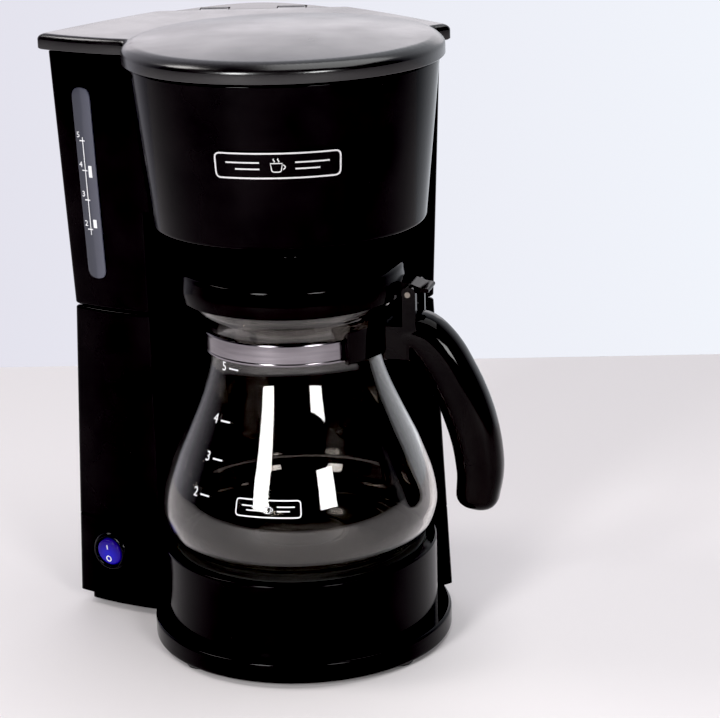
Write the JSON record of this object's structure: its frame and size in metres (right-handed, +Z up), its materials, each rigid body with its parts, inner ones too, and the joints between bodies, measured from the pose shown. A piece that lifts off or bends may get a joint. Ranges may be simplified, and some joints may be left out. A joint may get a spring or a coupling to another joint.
{
  "type": "drip coffee maker",
  "caption": "Compact drip coffee maker: hourglass tower with water tank, round brewing drum under a hinged lid, glass jug on a warming plate.",
  "frame": {"origin": "middle of the bottom of the whole machine's box, on the surface it stands on", "axes": "+Z up, -Y is the front with the jug, +X is the right side seen from the front"},
  "size_m": [0.192, 0.1848, 0.2596],
  "materials": {
    "gloss_black_shell": "injection-moulded black plastic, high gloss",
    "gloss_black_lid": "black plastic lid, polished tool finish",
    "gloss_black_trim": "black plastic switch surround, gloss",
    "gloss_black_handle": "black plastic jug handle and jug lid, gloss",
    "matte_black_plastic": "black polypropylene, fine matt texture",
    "white_plastic": "natural white polypropylene",
    "smoky_window": "smoky translucent plastic window with a printed white scale",
    "badge_print": "black plaque with a raised satin outline",
    "coated_plate": "steel plate with dark non-stick coating",
    "silicone": "translucent silicone rubber",
    "black_rubber": "black rubber, matt",
    "aluminium_tube": "cast aluminium, as made",
    "zinc_steel": "zinc-plated steel",
    "spring_steel": "stainless spring wire",
    "bright_steel": "polished stainless band",
    "clear_glass": "clear borosilicate glass with printed cup marks",
    "blue_lens": "translucent blue rocker, lit from inside"
  },
  "bodies": {
    "machine": {"base_plate": "gloss_black_shell", "base_screw_1": "zinc_steel", "base_screw_2": "zinc_steel", "base_screw_3": "zinc_steel", "base_screw_4": "zinc_steel", "basket_housing": "gloss_black_shell", "check_valve": "white_plastic", "clamp_bracket": "zinc_steel", "clamp_screw": "zinc_steel", "cold_hose_lower": "silicone", "cold_hose_upper": "silicone", "cord_gland": "black_rubber", "foot_1": "black_rubber", "foot_2": "black_rubber", "foot_3": "black_rubber", "foot_4": "black_rubber", "front_badge": "badge_print", "heater_element": "zinc_steel", "heater_lead": "silicone", "heater_tube": "aluminium_tube", "hot_hose": "silicone", "lid_pin_left": "zinc_steel", "lid_pin_right": "zinc_steel", "lower_housing": "gloss_black_shell", "mains_lead": "black_rubber", "outlet_spout": "white_plastic", "plate_gasket": "silicone", "reservoir_housing": "gloss_black_shell", "riser_grommet": "silicone", "riser_tube": "white_plastic", "switch_bezel": "gloss_black_trim", "switch_body": "matte_black_plastic", "tank_grommet": "silicone", "thermal_fuse": "zinc_steel", "thermostat": "white_plastic", "warming_plate": "coated_plate", "water_window": "smoky_window"},
    "lid": {"lid_cover": "gloss_black_lid", "spray_head": "matte_black_plastic"},
    "basket": {"filter_basket": "matte_black_plastic", "valve_seat": "silicone", "valve_spring": "spring_steel"},
    "valve": {"valve_stem": "white_plastic", "valve_seal": "silicone"},
    "rocker": {"switch_rocker": "blue_lens"},
    "jug": {"jug_glass": "clear_glass", "jug_band": "bright_steel", "jug_handle": "gloss_black_handle", "band_screw": "zinc_steel", "jug_lid_pin": "zinc_steel"},
    "jug_top": {"jug_lid": "gloss_black_handle"}
  },
  "joints": [
    {"name": "lid_hinge", "type": "hinge", "parent": "machine", "child": "lid", "pos_m": [-0.00944, 0.0658, 0.2513], "axis": [-1, 0, 0], "range_deg": [0, 95]},
    {"name": "basket_lift", "type": "slide", "parent": "machine", "child": "basket", "axis": [0, 0, 1], "range_m": [0, 0.0664]},
    {"name": "jug_slide", "type": "slide", "parent": "machine", "child": "jug", "axis": [0, -1, 0], "range_m": [0, 0.2]},
    {"name": "valve_slide", "type": "slide", "parent": "basket", "child": "valve", "axis": [0, 0, -1], "range_m": [0, 0.0024], "deforming": ["valve_spring"]},
    {"name": "jug_lid_hinge", "type": "hinge", "parent": "jug", "child": "jug_top", "pos_m": [0.05914, -0.03876, 0.1536], "axis": [0.225, 0.9744, 0], "range_deg": [0, 17.2]},
    {"name": "switch_rocker_tilt", "type": "hinge", "parent": "machine", "child": "rocker", "pos_m": [-0.07677, -0.00604, 0.0275], "axis": [-0.8793, 0.4762, 0], "range_deg": [0, 16]}
  ],
  "couplings": [
    {"joint": "basket_lift", "follows": "lid_hinge", "m_per_rad": 0.04},
    {"joint": "valve_slide", "follows": "jug_slide", "ratio": 0.012},
    {"joint": "jug_lid_hinge", "follows": "jug_slide", "rad_per_m": 1.5}
  ]
}
